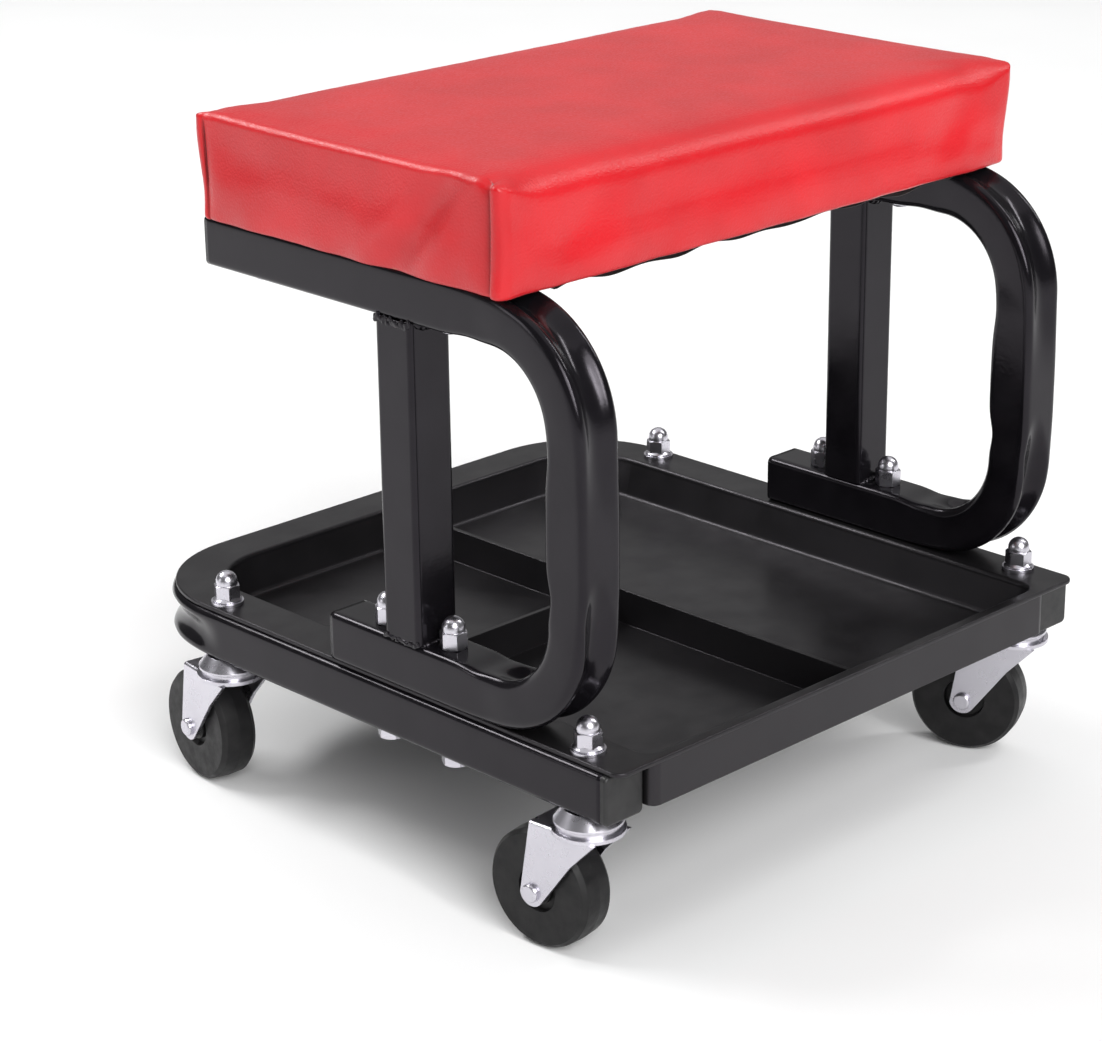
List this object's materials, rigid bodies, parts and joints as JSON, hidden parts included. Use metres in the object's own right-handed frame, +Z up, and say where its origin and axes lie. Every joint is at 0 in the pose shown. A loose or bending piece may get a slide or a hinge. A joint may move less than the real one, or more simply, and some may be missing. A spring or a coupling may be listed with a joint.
{
  "type": "mechanics creeper stool",
  "caption": "Low rolling work stool: a red padded seat on two C-shaped tube supports over a divided tool tray, with swivel casters.",
  "frame": {"origin": "on the floor under the middle of the object's box", "axes": "+Z up, -Y towards the open front of the base, X across the width"},
  "size_m": [0.3594, 0.364, 0.366],
  "materials": {
    "red_vinyl": "soft sheen, fine grain",
    "powder_coat": "gloss black powder coat",
    "tray_plastic": "satin, fine moulded texture",
    "plug_plastic": "satin",
    "zinc": "bright zinc plate",
    "steel": "ground steel",
    "wheel_black": "semi-matte moulded",
    "plywood": "bare",
    "foam": "open-cell foam",
    "dust_cloth": "matt non-woven cloth"
  },
  "bodies": {
    "frame": {"base_frame": "powder_coat", "bracket_bolt_washers": "zinc", "bracket_bolts": "zinc", "bracket_dome_nuts": "zinc", "caster_dome_nuts": "zinc", "caster_front_left_balls": "steel", "caster_front_left_race_cap": "zinc", "caster_front_left_stem": "zinc", "caster_front_right_balls": "steel", "caster_front_right_race_cap": "zinc", "caster_front_right_stem": "zinc", "caster_nut_washers": "zinc", "caster_rear_left_balls": "steel", "caster_rear_left_race_cap": "zinc", "caster_rear_left_stem": "zinc", "caster_rear_right_balls": "steel", "caster_rear_right_race_cap": "zinc", "caster_rear_right_stem": "zinc", "dust_cover": "dust_cloth", "dust_cover_staples": "zinc", "rail_plug_left": "plug_plastic", "rail_plug_right": "plug_plastic", "seat_board": "plywood", "seat_cover": "red_vinyl", "seat_foam": "foam", "seat_screw_washers": "zinc", "seat_screws": "zinc", "seat_support_left": "powder_coat", "seat_support_right": "powder_coat", "support_end_plugs": "plug_plastic", "support_post_left": "powder_coat", "support_post_right": "powder_coat", "tool_tray": "tray_plastic", "weld_beads": "powder_coat"},
    "caster_front_left": {"caster_front_left_axle": "zinc", "caster_front_left_fork": "zinc", "caster_front_left_sleeve": "steel"},
    "wheel_front_left": {"caster_front_left_wheel": "wheel_black"},
    "caster_front_right": {"caster_front_right_axle": "zinc", "caster_front_right_fork": "zinc", "caster_front_right_sleeve": "steel"},
    "wheel_front_right": {"caster_front_right_wheel": "wheel_black"},
    "caster_rear_left": {"caster_rear_left_axle": "zinc", "caster_rear_left_fork": "zinc", "caster_rear_left_sleeve": "steel"},
    "wheel_rear_left": {"caster_rear_left_wheel": "wheel_black"},
    "caster_rear_right": {"caster_rear_right_axle": "zinc", "caster_rear_right_fork": "zinc", "caster_rear_right_sleeve": "steel"},
    "wheel_rear_right": {"caster_rear_right_wheel": "wheel_black"}
  },
  "joints": [
    {"name": "caster_front_left_swivel", "type": "hinge", "parent": "frame", "child": "caster_front_left", "pos_m": [-0.159, -0.1525, 0.0665], "axis": [0, 0, 1], "continuous": true},
    {"name": "wheel_front_left_roll", "type": "hinge", "parent": "caster_front_left", "child": "wheel_front_left", "pos_m": [-0.16105, -0.12909, 0.03], "axis": [-0.9962, -0.0872, 0], "continuous": true},
    {"name": "caster_front_right_swivel", "type": "hinge", "parent": "frame", "child": "caster_front_right", "pos_m": [0.159, -0.1525, 0.0665], "axis": [0, 0, 1], "continuous": true},
    {"name": "wheel_front_right_roll", "type": "hinge", "parent": "caster_front_right", "child": "wheel_front_right", "pos_m": [0.1502, -0.13071, 0.03], "axis": [-0.9272, -0.3746, 0], "continuous": true},
    {"name": "caster_rear_left_swivel", "type": "hinge", "parent": "frame", "child": "caster_rear_left", "pos_m": [-0.159, 0.108, 0.0665], "axis": [0, 0, 1], "continuous": true},
    {"name": "wheel_rear_left_roll", "type": "hinge", "parent": "caster_rear_left", "child": "wheel_rear_left", "pos_m": [-0.15573, 0.13127, 0.03], "axis": [-0.9903, 0.1392, 0], "continuous": true},
    {"name": "caster_rear_right_swivel", "type": "hinge", "parent": "frame", "child": "caster_rear_right", "pos_m": [0.159, 0.108, 0.0665], "axis": [0, 0, 1], "continuous": true},
    {"name": "wheel_rear_right_roll", "type": "hinge", "parent": "caster_rear_right", "child": "wheel_rear_right", "pos_m": [0.15492, 0.13114, 0.03], "axis": [-0.9848, -0.1736, 0], "continuous": true}
  ]
}
